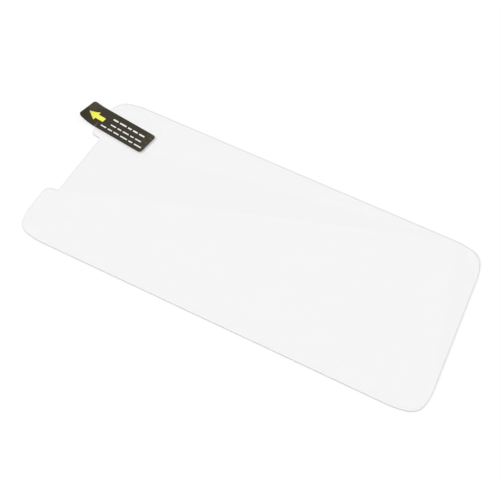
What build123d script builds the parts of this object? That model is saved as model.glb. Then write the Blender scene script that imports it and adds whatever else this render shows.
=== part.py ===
"""Glass screen protector for a phone with a narrow notch, as it lies before use.

The pane lies front face down. On its back are the adhesive and the clear release film, and a pull tab
is stuck on the film over one ear of the notch, with its free end past the end of the pane.

Frame: +X along the length with the notch at the -X end, +Y across, +Z up. The origin is the middle of
the pane on the face that it lies on. Sizes are in millimetres, angles in degrees.
"""
import os
from math import cos, radians, sin, tan

from build123d import *

# Outline of the pane
pane_length = 143.5
pane_width = 68.5
corner_reach = 11.5  # from the sharp corner to the start of its rounding
easing_radius = 25.0  # the large arc that leads into and out of each corner
easing_angle = 15.0  # how far that arc turns

# Notch in the -X end
notch_width = 27.5  # between the flanks, at half depth
notch_depth = 4.2
flank_lean = 6.5  # the flanks open outwards by this angle
ear_radius = 2.4  # where a flank meets the end of the pane
notch_floor_radius = 0.6  # where a flank meets the floor of the notch

# Layers, from the face that the pane lies on upwards
glass_thickness = 0.40
front_edge_radius = 0.22  # ground rounding round the front face
back_arris = 0.04  # broken edge round the back face
adhesive_thickness = 0.15
film_thickness = 0.08
layer_setback = 0.10  # the adhesive and the film stop this far inside the glass

# Pull tab, in plan
tab_length = 27.5
tab_width = 9.5
tab_thickness = 0.10
tab_corner_radius = 1.2
tab_overhang = 6.8  # free end past the end of the pane, along the tab
tab_inset = 12.25  # from the long edge to the tab's middle, at the end of the pane
tab_turn = 7.5  # the tab is stuck on askew by this angle

# Curl of the tab's free end
curl_radius = 12.0  # on the underside
curl_start = 1.1  # from the end of the pane to the bend, along the tab's middle
curl_skew = 13.5  # the bend is this far from square to the tab

quarter_turn = 90.0

os.makedirs("parts", exist_ok=True)

# Outline shared by the layers
# Each corner is three arcs that run into each other, so the rounding eases in and out
half_length = pane_length / 2
half_width = pane_width / 2
easing = radians(easing_angle)
easing_span = easing_radius * (1 + sin(easing) - cos(easing))
corner_radius = (corner_reach - easing_span) / (cos(easing) - sin(easing))
corner_turn = quarter_turn - 2 * easing_angle

# The notch's cutter starts at the notch's floor and runs on past the end of the pane
notch_floor_x = notch_depth - half_length
cutter_overrun = notch_depth
cutter_length = notch_depth + cutter_overrun
cutter_end_x = notch_floor_x - cutter_length
flank_slope = tan(radians(flank_lean))
floor_half_width = (notch_width - notch_depth * flank_slope) / 2
cutter_half_width = floor_half_width + cutter_length * flank_slope

with BuildSketch() as outline:
    with BuildLine():
        long_edge = Line((0, half_width), (half_length - corner_reach, half_width))
        ease_in = JernArc(long_edge @ 1, long_edge % 1, easing_radius, -easing_angle)
        corner = JernArc(ease_in @ 1, ease_in % 1, corner_radius, -corner_turn)
        ease_out = JernArc(corner @ 1, corner % 1, easing_radius, -easing_angle)
        Line(ease_out @ 1, (half_length, 0))
        mirror(about=Plane.YZ)
        mirror(about=Plane.XZ)
    make_face()
    with BuildLine():
        flank = Line((notch_floor_x, floor_half_width), (cutter_end_x, cutter_half_width))
        Line(flank @ 0, (notch_floor_x, 0))
        Line(flank @ 1, (cutter_end_x, 0))
        mirror(about=Plane.XZ)
    make_face(mode=Mode.SUBTRACT)
    floor_corners = outline.vertices().sort_by_distance((notch_floor_x, 0))[:2]
    fillet(floor_corners, notch_floor_radius)
    end_corners = outline.vertices().group_by(Axis.X)[0]
    fillet(end_corners.sort_by_distance((-half_length, 0))[:2], ear_radius)

with BuildSketch() as layer_outline:
    add(outline.sketch)
    offset(amount=-layer_setback)

# Glass pane, front face down
with BuildPart() as glass_pane:
    add(outline.sketch)
    extrude(amount=glass_thickness)
    fillet(glass_pane.edges().group_by(Axis.Z)[0], front_edge_radius)
    chamfer(glass_pane.edges().group_by(Axis.Z)[-1], back_arris)

# Adhesive on the back of the glass
film_base = glass_thickness + adhesive_thickness

with BuildPart() as adhesive_layer:
    with BuildSketch(Plane.XY.offset(glass_thickness)):
        add(layer_outline.sketch)
    extrude(amount=adhesive_thickness)

# Release film over the adhesive
with BuildPart() as liner_film:
    with BuildSketch(Plane.XY.offset(film_base)):
        add(layer_outline.sketch)
    extrude(amount=film_thickness)

# Pull tab on the film
# Its side view is a strip, flat on the film and curled up past the bend
# Its plan then cuts that strip to shape
tab_plane = Plane(
    origin=(-half_length, half_width - tab_inset, film_base + film_thickness),
    x_dir=(cos(radians(tab_turn)), -sin(radians(tab_turn)), 0),
    z_dir=(0, 0, 1),
)
bend = tab_plane.from_local_coords((-curl_start, 0, 0))
bend_turn = radians(curl_skew - tab_turn)
side_plane = Plane(
    origin=bend,
    x_dir=(cos(bend_turn), sin(bend_turn), 0),
    z_dir=(sin(bend_turn), -cos(bend_turn), 0),
)

with BuildPart() as pull_tab:
    with BuildSketch(side_plane):
        with BuildLine():
            stuck = Line((tab_length, 0), (0, 0))
            JernArc(stuck @ 1, stuck % 1, curl_radius, -quarter_turn)
            offset(amount=tab_thickness, side=Side.RIGHT)
        make_face()
    extrude(amount=tab_length, both=True)
    with BuildSketch(tab_plane):
        with Locations((tab_length / 2 - tab_overhang, 0)):
            RectangleRounded(tab_length, tab_width, tab_corner_radius)
    extrude(amount=curl_radius, both=True, mode=Mode.INTERSECT)

glass_pane.part.label = "glass_pane"
adhesive_layer.part.label = "adhesive_layer"
liner_film.part.label = "liner_film"
pull_tab.part.label = "pull_tab"

export_step(glass_pane.part, "parts/glass_pane.step")
export_step(adhesive_layer.part, "parts/adhesive_layer.step")
export_step(liner_film.part, "parts/liner_film.step")
export_step(pull_tab.part, "parts/pull_tab.step")
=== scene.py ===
# %% [markdown]
# # A glass screen protector, lying in its release film
#
# The object is a thin clear pane for the front of a phone. It lies on its front face, with the clear
# release film on top, and a dark pull tab is stuck on the film over one ear of the notch. The solids of
# these pieces come from the frame and stay as they are. This script gives them their finishes, prints
# the tab, and sets up the floor, the light and the camera.

from math import acos, cos, degrees, pi, radians, sin, sqrt

import bmesh
import bpy
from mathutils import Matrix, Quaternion, Vector


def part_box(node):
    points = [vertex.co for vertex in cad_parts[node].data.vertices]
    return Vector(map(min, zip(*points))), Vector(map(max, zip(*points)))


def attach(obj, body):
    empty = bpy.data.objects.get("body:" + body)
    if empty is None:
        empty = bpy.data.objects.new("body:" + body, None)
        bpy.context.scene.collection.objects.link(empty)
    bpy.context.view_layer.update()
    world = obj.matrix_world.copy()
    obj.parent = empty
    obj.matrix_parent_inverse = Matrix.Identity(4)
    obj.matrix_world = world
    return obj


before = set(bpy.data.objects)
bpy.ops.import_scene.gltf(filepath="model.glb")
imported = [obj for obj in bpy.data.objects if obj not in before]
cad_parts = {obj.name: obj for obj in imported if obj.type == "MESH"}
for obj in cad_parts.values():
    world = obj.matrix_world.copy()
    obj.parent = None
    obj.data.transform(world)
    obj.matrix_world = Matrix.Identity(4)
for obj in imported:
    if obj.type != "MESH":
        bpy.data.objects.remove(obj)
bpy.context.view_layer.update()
MM = 0.001
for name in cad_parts:
    low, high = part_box(name)
    print(name, [round(side / MM, 2) for side in high - low], "mm")

# %% [markdown]
# ## Camera
#
# A photograph is matched by three things: where the camera stands, what it aims at and how long its lens
# is. Here the camera stands a little to the right, looks down steeply, and is rolled so that the pane
# runs downhill across the picture. Tracking a direction gives an upright camera, and the roll is then a
# turn about the line of sight.

# %% Camera at the photograph's angle
camera_spot = Vector((50.78, -157.95, 233.83)) * MM
aim_point = Vector((0.16, -3.48, 0.0)) * MM
camera_roll = radians(9.09)
focal_length = 61.82
nearest_seen = 1 * MM

camera_data = bpy.data.cameras.new("camera")
camera_data.lens = focal_length
camera_data.clip_start = nearest_seen
camera = bpy.data.objects.new("camera", camera_data)
camera.location = camera_spot
camera.rotation_mode = "QUATERNION"
upright = (aim_point - camera_spot).to_track_quat("-Z", "Y")
camera.rotation_quaternion = upright @ Quaternion((0, 0, 1), camera_roll)
bpy.context.scene.collection.objects.link(camera)
bpy.context.scene.camera = camera
print("camera", round((aim_point - camera_spot).length / MM), "mm from its aim")

# %% [markdown]
# ## Node trees, a helper
#
# Every finish below is a small tree of nodes, and so is the room's light. One helper empties a tree and
# returns two short functions: the first adds a node and sets its inputs, the second joins two sockets.
# Constants are set on the shader's own inputs, and only what varies over the surface arrives by a link.


# %% Helpers for node trees
def tree_tools(tree):
    tree.nodes.clear()

    def node(kind, values=None, **settings):
        made = tree.nodes.new("ShaderNode" + kind)
        for setting, value in settings.items():
            setattr(made, setting, value)
        for key, value in (values or {}).items():
            made.inputs[key].default_value = value
        return made

    return node, tree.links.new


def start_material(name):
    material = bpy.data.materials.new(name)
    material.use_nodes = True
    node, link = tree_tools(material.node_tree)
    output = node("OutputMaterial")
    return material, node, link, output.inputs["Surface"]


# %% [markdown]
# ## Floor
#
# The floor is plain and pale. A white picture background could come from more light, but that would
# bleach the object too. So the floor is a plain matt grey that takes the shadow, plus a glow that only
# sight, mirrors and glass can see, just enough to bring the lit floor up to white. The more of its white
# is glow, the lighter the shadow looks, because a shadow darkens only the matt share.

# %% Floor finish
light_level = 1.0
floor_white = 1.01  # just past white, so that the lit floor is surely white
floor_albedo = 0.55
floor_glow = floor_white - floor_albedo * light_level


def seen_directly(node, link):
    """1 for rays of the camera, of mirrors and of glass, 0 for rays that carry light about."""
    path = node("LightPath")
    mirror = node("Math", operation="MAXIMUM")
    link(path.outputs["Is Camera Ray"], mirror.inputs[0])
    link(path.outputs["Is Glossy Ray"], mirror.inputs[1])
    seen = node("Math", operation="MAXIMUM")
    link(mirror.outputs[0], seen.inputs[0])
    link(path.outputs["Is Transmission Ray"], seen.inputs[1])
    return seen.outputs[0]


def floor_finish():
    material, node, link, surface = start_material("pale_floor")
    matt = node("BsdfDiffuse", {"Color": (floor_albedo, floor_albedo, floor_albedo, 1)})
    glow = node("Emission", {"Color": (floor_glow, floor_glow, floor_glow, 1)})
    link(seen_directly(node, link), glow.inputs["Strength"])
    both = node("AddShader")
    link(matt.outputs[0], both.inputs[0])
    link(glow.outputs[0], both.inputs[1])
    link(both.outputs[0], surface)
    return material


print("floor of", floor_albedo, "matt and", round(floor_glow, 2), "glow")

# %% Floor
floor_size = 3.0
floor_drop = 0.02 * MM


def mesh_object(name, shape, material):
    """Turns a bmesh into an object at the origin."""
    mesh = bpy.data.meshes.new(name)
    shape.to_mesh(mesh)
    shape.free()
    mesh.materials.append(material)
    made = bpy.data.objects.new(name, mesh)
    bpy.context.scene.collection.objects.link(made)
    return made


floor_shape = bmesh.new()
bmesh.ops.create_grid(floor_shape, x_segments=1, y_segments=1, size=floor_size / 2)
bmesh.ops.translate(floor_shape, verts=floor_shape.verts, vec=(0, 0, -floor_drop))
floor = mesh_object("floor", floor_shape, floor_finish())
print("floor", floor_size, "m across")

# %% [markdown]
# ## Light
#
# Soft studio light: an even white room, and one broad lamp from the front left so that the tab's curl
# gets a bright and a dark side. The lamp is a sun with a wide disc, because a sun lights the whole floor
# evenly, and the wide disc keeps the shadow soft. Together they light a white card to about white. Seen
# from the far side, the lamp's glare would bleach the clear film until the pane was lost on the floor, so
# mirrors don't show the lamp, as a photographer would hide it with a flag.

# %% Room
room_share = 0.40


def white_room():
    world = bpy.data.worlds.new("white_room")
    world.use_nodes = True
    node, link = tree_tools(world.node_tree)
    lighting = node("Background", {"Color": (1, 1, 1, 1), "Strength": room_share})
    backdrop = node("Background", {"Color": (1, 1, 1, 1), "Strength": 1.0})
    choice = node("MixShader")
    link(seen_directly(node, link), choice.inputs["Fac"])
    link(lighting.outputs[0], choice.inputs[1])
    link(backdrop.outputs[0], choice.inputs[2])
    link(choice.outputs[0], node("OutputWorld").inputs["Surface"])
    return world


bpy.context.scene.world = white_room()
bpy.context.scene.view_settings.view_transform = "Standard"
print("room at", room_share, "of the light")

# %% Lamp
lamp_from = Vector((-0.50, -0.40, 0.77)).normalized()
lamp_disc = radians(45)
lamp_energy = (light_level - room_share) * pi / lamp_from.z

lamp_data = bpy.data.lights.new("broad_lamp", "SUN")
lamp_data.energy = lamp_energy
lamp_data.angle = lamp_disc
lamp = bpy.data.objects.new("broad_lamp", lamp_data)
lamp.rotation_mode = "QUATERNION"
lamp.rotation_quaternion = lamp_from.to_track_quat("Z", "Y")
lamp.visible_glossy = False
bpy.context.scene.collection.objects.link(lamp)
print("lamp at", round(lamp_energy, 2), "watts on a square metre")

# %% [markdown]
# ## Clear layers
#
# The pane, its adhesive and the film are all clear, and they lie face to face. Glass that bends light
# would be the obvious shader, but where two such solids touch, the faces fall together and the light no
# longer knows which one it is in. The layers are thinner than a millimetre and shift what is behind them
# by less than can be seen, so each face here lets light straight through with a faint tint. A look at the
# floor crosses six faces on the way down, and the light on that floor crossed the same six, so Blender is
# told to follow clear faces further than it usually would.

# %% Follow light through stacked layers
faces_followed = 32
bpy.context.scene.cycles.transparent_max_bounces = faces_followed
print("light is followed through", faces_followed, "clear faces")

# %% [markdown]
# A layer's rim is another matter. Light that enters a rim from outside is trapped between the faces and
# runs on inside the sheet, so the rim looks dark, with a little grey where the grinding wheel left it
# dull. Seen from inside, through the sheet, the rim is nearly clear and draws only a faint line. The rim
# is found by its normal, which lies level, and a node tells which side of it is seen.

# %% Rim of a clear layer
rim_dark = (0.62, 0.63, 0.63, 1)
rim_inside = (0.925, 0.925, 0.925, 1)
rim_dust = (0.72, 0.73, 0.73, 1)
rim_dullness = 0.12
rim_start = 0.98  # upright share of the normal where the rim begins
rim_full = 0.80  # and where it is all rim


def add_rim(node, link, face):
    """Joins the shader of a layer's faces to that of its rim."""
    geometry = node("NewGeometry")
    normal = node("SeparateXYZ")
    link(geometry.outputs["True Normal"], normal.inputs[0])
    steepness = node("Math", operation="ABSOLUTE")
    link(normal.outputs["Z"], steepness.inputs[0])
    on_rim = node("MapRange", {"From Min": rim_start, "From Max": rim_full})
    link(steepness.outputs[0], on_rim.inputs["Value"])

    trapped = node("BsdfTransparent", {"Color": rim_dark})
    ground = node("BsdfDiffuse", {"Color": rim_dust})
    outside = node("MixShader", {"Fac": rim_dullness})
    link(trapped.outputs[0], outside.inputs[1])
    link(ground.outputs[0], outside.inputs[2])
    inside = node("BsdfTransparent", {"Color": rim_inside})
    rim = node("MixShader")
    link(geometry.outputs["Backfacing"], rim.inputs["Fac"])
    link(outside.outputs[0], rim.inputs[1])
    link(inside.outputs[0], rim.inputs[2])

    layer = node("MixShader")
    link(on_rim.outputs[0], layer.inputs["Fac"])
    link(face.outputs[0], layer.inputs[1])
    link(rim.outputs[0], layer.inputs[2])
    return layer.outputs[0]


print("a rim begins", round(degrees(acos(rim_start))), "degrees from flat")

# %% [markdown]
# Only two of the six faces meet air and mirror the room: the top of the film and the underside of the
# pane. Between the layers there is no air and so no mirror. A face mirrors a twenty-fifth of the light
# head on and all of it when seen flat, on a curve that is close to a fifth power. Blender's own Fresnel
# node has that curve too, but it answers for every face alike, and here the height of a point decides
# whether it lies in air.

# %% How much a face mirrors
mirror_head_on = 0.04
mirror_power = 5.0


def mirror_share(node, link, place, waves, inner_height, air_height):
    """The heights are of the face against the next layer and of the face that meets air."""
    slant = node("LayerWeight")
    link(waves, slant.inputs["Normal"])
    curve = node("Math", {1: mirror_power}, operation="POWER")
    link(slant.outputs["Facing"], curve.inputs[0])
    share = node("MapRange", {"To Min": mirror_head_on, "To Max": 1.0})
    link(curve.outputs[0], share.inputs["Value"])
    spot = node("SeparateXYZ")
    link(place, spot.inputs[0])
    in_air = node("MapRange", {"From Min": inner_height, "From Max": air_height})
    link(spot.outputs["Z"], in_air.inputs["Value"])
    mirrored = node("Math", operation="MULTIPLY")
    link(share.outputs[0], mirrored.inputs[0])
    link(in_air.outputs[0], mirrored.inputs[1])
    return mirrored.outputs[0]


low_sight = 75
at_low_sight = mirror_head_on + (1 - mirror_head_on) * (1 - cos(radians(low_sight))) ** mirror_power
print("mirrored head on", mirror_head_on, "and at", low_sight, "degrees", round(at_low_sight, 2))

# %% [markdown]
# Glass and film differ in how they mirror. Tempered glass is flat and sharp, and release film is soft
# enough to be a little wavy and dull from handling. One noise serves both: it moves the roughness between
# two ends, and as a height it waves the surface, by a hundredth of a millimetre in the film and by far
# less in the glass.

# %% Polished layer
mark_detail = 3.0


def handling_marks(node, link, place, mark_scale, roughness_range, waviness):
    """Returns a roughness and a waved normal."""
    marks = node("TexNoise", {"Scale": mark_scale, "Detail": mark_detail})
    link(place, marks.inputs["Vector"])
    sharp, dull = roughness_range
    roughness = node("MapRange", {"To Min": sharp, "To Max": dull})
    link(marks.outputs["Fac"], roughness.inputs["Value"])
    waves = node("Bump", {"Strength": 1.0, "Distance": waviness})
    link(marks.outputs["Fac"], waves.inputs["Height"])
    return roughness.outputs[0], waves.outputs[0]


def polished_layer(name, tint, inner_height, air_height, mark_scale, roughness_range, waviness):
    material, node, link, surface = start_material(name)
    place = node("TexCoord").outputs["Object"]
    roughness, waves = handling_marks(node, link, place, mark_scale, roughness_range, waviness)
    through = node("BsdfTransparent", {"Color": tint})
    mirror = node("BsdfGlossy", {"Color": (1, 1, 1, 1)})
    link(roughness, mirror.inputs["Roughness"])
    link(waves, mirror.inputs["Normal"])
    face = node("MixShader")
    link(mirror_share(node, link, place, waves, inner_height, air_height), face.inputs["Fac"])
    link(through.outputs[0], face.inputs[1])
    link(mirror.outputs[0], face.inputs[2])
    link(add_rim(node, link, face), surface)
    return material


# %% [markdown]
# The adhesive lies between the two and mirrors nothing. It is a soft clear rubber that was poured and
# cured, so it is not quite even: a slow noise blends two tints that are hardly apart, which gives the
# pane a faint cloudiness where the light is right.

# %% Soft layer
cloud_detail = 2.0


def soft_layer(name, tint, cloud_tint, cloud_scale):
    material, node, link, surface = start_material(name)
    place = node("TexCoord").outputs["Object"]
    clouds = node("TexNoise", {"Scale": cloud_scale, "Detail": cloud_detail})
    link(place, clouds.inputs["Vector"])
    colour = node("ValToRGB")
    colour.color_ramp.elements[0].color = cloud_tint
    colour.color_ramp.elements[1].color = tint
    link(clouds.outputs["Fac"], colour.inputs["Fac"])
    face = node("BsdfTransparent")
    link(colour.outputs["Color"], face.inputs["Color"])
    link(add_rim(node, link, face), surface)
    return material


# %% [markdown]
# A node of the frame brings one material slot of its own. Clearing the slots and adding the finish
# changes the look and leaves the mesh alone. The heights of the faces come from the solids' boxes, so the
# finishes still fit when a layer gets thicker.

# %% Dress the clear layers
glass_tint = (0.974, 0.974, 0.974, 1)
adhesive_tint = (0.997, 0.997, 0.997, 1)
adhesive_clouds = (0.995, 0.995, 0.995, 1)
film_tint = (0.987, 0.987, 0.987, 1)
pane_low, pane_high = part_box("glass_pane")
film_low, film_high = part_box("liner_film")


def dress(node_name, material):
    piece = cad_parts[node_name]
    piece.data.materials.clear()
    piece.data.materials.append(material)
    print(node_name, "gets", material.name, "of", len(material.node_tree.nodes), "nodes")
    return piece


pane = dress("glass_pane", polished_layer(
    "tempered_glass", glass_tint, inner_height=pane_high.z, air_height=pane_low.z,
    mark_scale=60.0, roughness_range=(0.02, 0.05), waviness=0.0005 * MM))
dress("adhesive_layer", soft_layer("clear_adhesive", adhesive_tint, adhesive_clouds, cloud_scale=40.0))
dress("liner_film", polished_layer(
    "release_film", film_tint, inner_height=film_low.z, air_height=film_high.z,
    mark_scale=25.0, roughness_range=(0.03, 0.09), waviness=0.01 * MM))

# %% [markdown]
# The rounding along the pane's front edge runs smoothly into its flat face, and smooth shading then
# drags the edge's slope far into the flat. Parting the faces wherever they meet at an angle keeps the
# flat ones flat. The rounding turns into small facets by that, but they are far too fine to be seen.

# %% Keep the flat faces flat
parting_angle = radians(1)
flat_faces = pane.modifiers.new("flat_faces", "EDGE_SPLIT")
flat_faces.split_angle = parting_angle
print(pane.name, "is parted where its faces turn by more than", round(degrees(parting_angle)), "degree")

# %% [markdown]
# ## Pull tab
#
# The tab is a strip of dark printed film with a satin face. Where it bends over the end of the pane, a
# short crease runs from its near side and catches the light, and that highlight is painted as a pale
# band.
# The crease could be a mesh, but it has no height, so its painted highlight is a narrow band in the
# colour.

# %% Crease of the tab and its painted highlight
tab_inset = 12.25 * MM  # from the pane's far side to the tab's middle
crease_past_end = 0.30 * MM  # from the end of the pane
crease_half = 0.38 * MM  # half its width
crease_full = 3.8 * MM  # from the tab's middle to where the painted highlight is strongest
crease_end = 1.6 * MM  # and to where it ends

tab_middle = pane_high.y - tab_inset
crease_x = pane_low.x - crease_past_end
crease_full_y = tab_middle - crease_full
crease_end_y = tab_middle - crease_end


def crease_highlight_mask(node, link, place):
    """Painted highlight: 1 along the crease, fading to both sides of it and towards its end."""
    spot = node("SeparateXYZ")
    link(place, spot.inputs[0])
    across = node("Math", {1: crease_x}, operation="SUBTRACT")
    link(spot.outputs["X"], across.inputs[0])
    away = node("Math", operation="ABSOLUTE")
    link(across.outputs[0], away.inputs[0])
    near = node("MapRange", {"From Min": crease_half, "From Max": 0.0}, interpolation_type="SMOOTHSTEP")
    link(away.outputs[0], near.inputs["Value"])
    along = node("MapRange", {"From Min": crease_end_y, "From Max": crease_full_y})
    link(spot.outputs["Y"], along.inputs["Value"])
    crease = node("Math", operation="MULTIPLY")
    link(near.outputs[0], crease.inputs[0])
    link(along.outputs[0], crease.inputs[1])
    return crease.outputs[0]


print("crease at x", round(crease_x / MM, 2), "mm, up to y", round(crease_end_y / MM, 2), "mm")

# %% [markdown]
# The satin film shows a soft sheen round the corner that is pulled, and less towards the stuck end, and
# that sheen is painted into the colour here. A mask could be painted by hand, but two ramps say it more
# simply. One fades with the distance from the corner, the other runs along the strip, and the stronger
# one counts.

# %% Painted sheen of the tab
tab_low, tab_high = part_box("pull_tab")
pulled_corner = Vector((tab_low.x, tab_high.y, tab_high.z))
pull_reach = 8.0 * MM  # from that corner to where the painted sheen begins
pull_full = 2.5 * MM  # and to where it is full
stuck_reach = 7.0 * MM  # from the stuck end
stuck_sheen_paint = 0.8  # strength of the painted sheen here, beside that at the corner


def painted_sheen_mask(node, link, place):
    """Painted sheen: 1 round the corner that is pulled, less at the stuck end, 0 between them."""
    distance = node("VectorMath", {1: pulled_corner}, operation="DISTANCE")
    link(place, distance.inputs[0])
    pulled = node("MapRange", {"From Min": pull_reach, "From Max": pull_full},
                  interpolation_type="SMOOTHSTEP")
    link(distance.outputs["Value"], pulled.inputs["Value"])
    spot = node("SeparateXYZ")
    link(place, spot.inputs[0])
    stuck = node("MapRange", {"From Min": tab_high.x - stuck_reach, "From Max": tab_high.x,
                              "To Max": stuck_sheen_paint})
    link(spot.outputs["X"], stuck.inputs["Value"])
    # the stronger of the two ramps gives the painted sheen
    painted_sheen = node("Math", operation="MAXIMUM")
    link(pulled.outputs[0], painted_sheen.inputs[0])
    link(stuck.outputs[0], painted_sheen.inputs[1])
    return painted_sheen.outputs[0]


print("rubbed round", [round(value / MM, 1) for value in pulled_corner], "mm")

# %% [markdown]
# One flat colour would look like a hole in the picture, so a fine grain moves the film's colour and its
# roughness a little. A ramp takes the grain from a dark tone to a light one, and a painted sheen pushes
# it on towards a third, paler tone. The crease's painted highlight is mixed in last.

# %% Tab finish
tab_dark = (0.0215, 0.0158, 0.0068, 1)
tab_light = (0.0293, 0.0230, 0.0115, 1)
# a paler tone that paints the satin's sheen into the colour
tab_sheen_paint = (0.0664, 0.0561, 0.0369, 1)
light_stop = 0.65  # the place of the light tone on the ramp
sheen_push = 0.45  # how far the painted sheen moves a tone up the ramp
# a pale tone that paints the highlight along the crease
crease_highlight_paint = (0.12, 0.11, 0.095, 1)
grain_scale = 900.0
grain_detail = 4.0
grain_strength = 0.15
grain_depth = 0.01 * MM
satin_range = (0.42, 0.56)
tab_shine = 0.3


def tab_finish():
    material, node, link, surface = start_material("tab_film")
    place = node("TexCoord").outputs["Object"]
    grain = node("TexNoise", {"Scale": grain_scale, "Detail": grain_detail})
    link(place, grain.inputs["Vector"])
    # the painted sheen moves each tone up the ramp towards the paler one
    tone = node("Math", {1: sheen_push}, operation="MULTIPLY_ADD")
    link(painted_sheen_mask(node, link, place), tone.inputs[0])
    link(grain.outputs["Fac"], tone.inputs[2])
    colour = node("ValToRGB")
    colour.color_ramp.elements[0].color = tab_dark
    colour.color_ramp.elements[1].color = tab_sheen_paint
    colour.color_ramp.elements.new(light_stop).color = tab_light
    link(tone.outputs[0], colour.inputs["Fac"])
    # the crease's highlight is painted into the colour
    crease_lit_colour = node("Mix", {"B": crease_highlight_paint}, data_type="RGBA")
    link(crease_highlight_mask(node, link, place), crease_lit_colour.inputs["Factor"])
    link(colour.outputs["Color"], crease_lit_colour.inputs["A"])

    satin = node("MapRange", {"To Min": satin_range[0], "To Max": satin_range[1]})
    link(grain.outputs["Fac"], satin.inputs["Value"])
    bump = node("Bump", {"Strength": grain_strength, "Distance": grain_depth})
    link(grain.outputs["Fac"], bump.inputs["Height"])
    strip = node("BsdfPrincipled", {"Specular IOR Level": tab_shine})
    link(crease_lit_colour.outputs["Result"], strip.inputs["Base Color"])
    link(satin.outputs[0], strip.inputs["Roughness"])
    link(bump.outputs[0], strip.inputs["Normal"])
    link(strip.outputs[0], surface)
    return material


dress("pull_tab", tab_finish())

# %% [markdown]
# ## Print on the tab
#
# The print is a yellow arrow that points to the free end, and three rows of plain white dashes. Print
# could be painted in the material, but marks with an outline of their own stay sharp from any distance.
# They are drawn in the tab's flat plan, with x along the tab from the end of the pane and y across it.
# One function then takes a point of that plan to its place on the tab: past the bend the tab rises on an
# arc, and the plan is turned as the tab is stuck on.

# %% From the tab's plan to the tab
tab_turn = radians(7.5)
tab_thickness = 0.10 * MM
curl_radius = 12.0 * MM - tab_thickness  # on the upper face, which is inside the curl
curl_start = 1.1 * MM
curl_skew = radians(13.5)

pane_end = pane_low.x
tab_top = film_high.z + tab_thickness
bend = Vector((-curl_start, 0, 0))
to_free_end = Vector((-cos(curl_skew), -sin(curl_skew), 0))


def lay_on_tab(point):
    """A point of the plan may have a height, which is its height in the ink."""
    past_bend = (point - bend).dot(to_free_end)
    rise = 0.0
    if past_bend > 0:
        inner = curl_radius - point.z
        rise = inner - sqrt(inner * inner - past_bend * past_bend)
    x = pane_end + point.x * cos(tab_turn) + point.y * sin(tab_turn)
    y = tab_middle - point.x * sin(tab_turn) + point.y * cos(tab_turn)
    return Vector((x, y, tab_top + point.z + rise))


print("bend of the tab at", [round(value / MM, 2) for value in lay_on_tab(bend)], "mm")

# %% [markdown]
# A mark starts as one flat face on its few corners. A bevel of the corners rounds them, because ink
# never prints a sharp one. Cuts alongside the bend, from the bend on, let the face follow the curl, and
# the straight part needs none. A cut that just misses a corner leaves a sliver, which is dissolved. Then
# the face is raised into a film of ink, and every point is laid on the tab.

# %% Print marks on the tab
ink_thickness = 0.012 * MM
slice_gap = 0.4 * MM  # between the cuts
speck = 0.01 * MM  # edges shorter than this are slivers
corner_steps = 3


def print_marks(name, marks, corner, material):
    ink = bmesh.new()
    for mark in marks:
        ink.faces.new([ink.verts.new((x * MM, y * MM, 0)) for x, y in mark])
    bmesh.ops.bevel(ink, geom=ink.verts[:], offset=corner * MM, offset_type="OFFSET",
                    segments=corner_steps, profile=0.5, affect="VERTICES", material=-1)
    past_bend = max((vert.co - bend).dot(to_free_end) for vert in ink.verts)
    slices = int(past_bend / slice_gap) + 1 if past_bend > 0 else 0
    for step in range(slices):
        bmesh.ops.bisect_plane(ink, geom=ink.verts[:] + ink.edges[:] + ink.faces[:],
                               plane_co=bend + to_free_end * step * slice_gap, plane_no=to_free_end)
    bmesh.ops.dissolve_degenerate(ink, dist=speck, edges=ink.edges[:])
    top = bmesh.ops.extrude_face_region(ink, geom=ink.faces[:])["geom"]
    raised = [item for item in top if isinstance(item, bmesh.types.BMVert)]
    bmesh.ops.translate(ink, verts=raised, vec=(0, 0, ink_thickness))
    for vert in ink.verts:
        vert.co = lay_on_tab(vert.co)
    bmesh.ops.recalc_face_normals(ink, faces=ink.faces[:])
    print(name, "marks:", len(marks), "slices:", slices, "faces:", len(ink.faces))
    piece = mesh_object(name, ink, material)
    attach(piece, "root")


# %% [markdown]
# Ink is matt and opaque, and it is never quite even: the grain of the film under it makes it a little
# thinner here and there. A fine noise blends each ink between a thin and a full colour, and moves its
# roughness and its height along.

# %% Ink
speckle_scale = 1500.0
speckle_detail = 2.0
speckle_strength = 0.1
speckle_depth = 0.005 * MM
matt_range = (0.58, 0.44)  # from thin ink to full
ink_shine = 0.3


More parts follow.
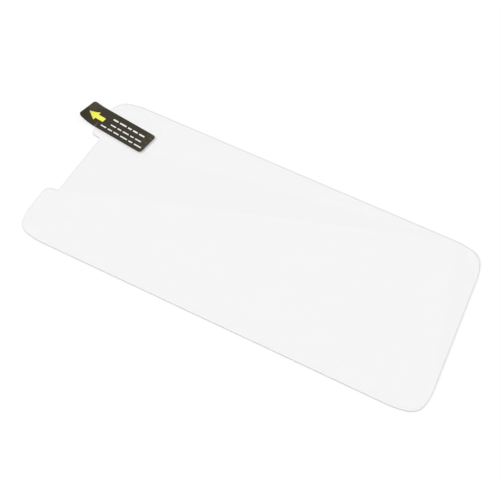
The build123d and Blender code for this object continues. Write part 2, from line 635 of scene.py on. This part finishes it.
def ink_finish(name, thin, full):
    material, node, link, surface = start_material(name)
    place = node("TexCoord").outputs["Object"]
    speckle = node("TexNoise", {"Scale": speckle_scale, "Detail": speckle_detail})
    link(place, speckle.inputs["Vector"])
    colour = node("ValToRGB")
    colour.color_ramp.elements[0].color = thin
    colour.color_ramp.elements[1].color = full
    link(speckle.outputs["Fac"], colour.inputs["Fac"])
    matt = node("MapRange", {"To Min": matt_range[0], "To Max": matt_range[1]})
    link(speckle.outputs["Fac"], matt.inputs["Value"])
    bump = node("Bump", {"Strength": speckle_strength, "Distance": speckle_depth})
    link(speckle.outputs["Fac"], bump.inputs["Height"])
    ink = node("BsdfPrincipled", {"Specular IOR Level": ink_shine})
    link(colour.outputs["Color"], ink.inputs["Base Color"])
    link(matt.outputs[0], ink.inputs["Roughness"])
    link(bump.outputs[0], ink.inputs["Normal"])
    link(ink.outputs[0], surface)
    print(name, "mixed")
    return material


yellow_ink = ink_finish("yellow_ink", (0.93, 0.89, 0.085, 1), (0.98, 0.965, 0.15, 1))
white_ink = ink_finish("white_ink", (0.80, 0.80, 0.79, 1), (0.92, 0.92, 0.91, 1))

# %% [markdown]
# The arrow tells which end to pull. Seven corners draw it, in millimetres along the tab and across it:
# the tip past the bend, the two barbs of the head, and a plain shaft.

# %% Arrow to the free end
arrow_tip = -5.4
arrow_neck = -2.0
arrow_tail = 1.3
arrow_middle = -0.35
head_half = 2.15
shaft_half = 0.95
arrow_corner = 0.12
arrow = [
    (arrow_tip, arrow_middle),
    (arrow_neck, arrow_middle - head_half),
    (arrow_neck, arrow_middle - shaft_half),
    (arrow_tail, arrow_middle - shaft_half),
    (arrow_tail, arrow_middle + shaft_half),
    (arrow_neck, arrow_middle + shaft_half),
    (arrow_neck, arrow_middle + head_half),
]
print_marks("peel_arrow", [arrow], arrow_corner, yellow_ink)

# %% [markdown]
# The rows fill the stuck end of the tab. Dashes of one length would look like a ruler, so each row has
# its own start and its own lengths, and a loop sets them one after another with an even gap.

# %% Rows of dashes
dash_gap = 0.7
dash_corner = 0.15
rows = [  # start along the tab, place across it, half height, lengths
    (3.7, 2.00, 0.33, (2.2, 2.9, 1.6, 2.0, 2.3)),
    (4.5, -0.62, 0.26, (2.3, 1.7, 2.6, 1.5, 2.5)),
    (1.7, -2.82, 0.26, (2.4, 1.9, 2.3, 3.0, 1.7, 3.1)),
]
dashes = []
for start, middle, half, lengths in rows:
    for length in lengths:
        end = start + length
        low, high = middle - half, middle + half
        dashes.append([(start, low), (end, low), (end, high), (start, high)])
        start = end + dash_gap
print_marks("printed_rows", dashes, dash_corner, white_ink)
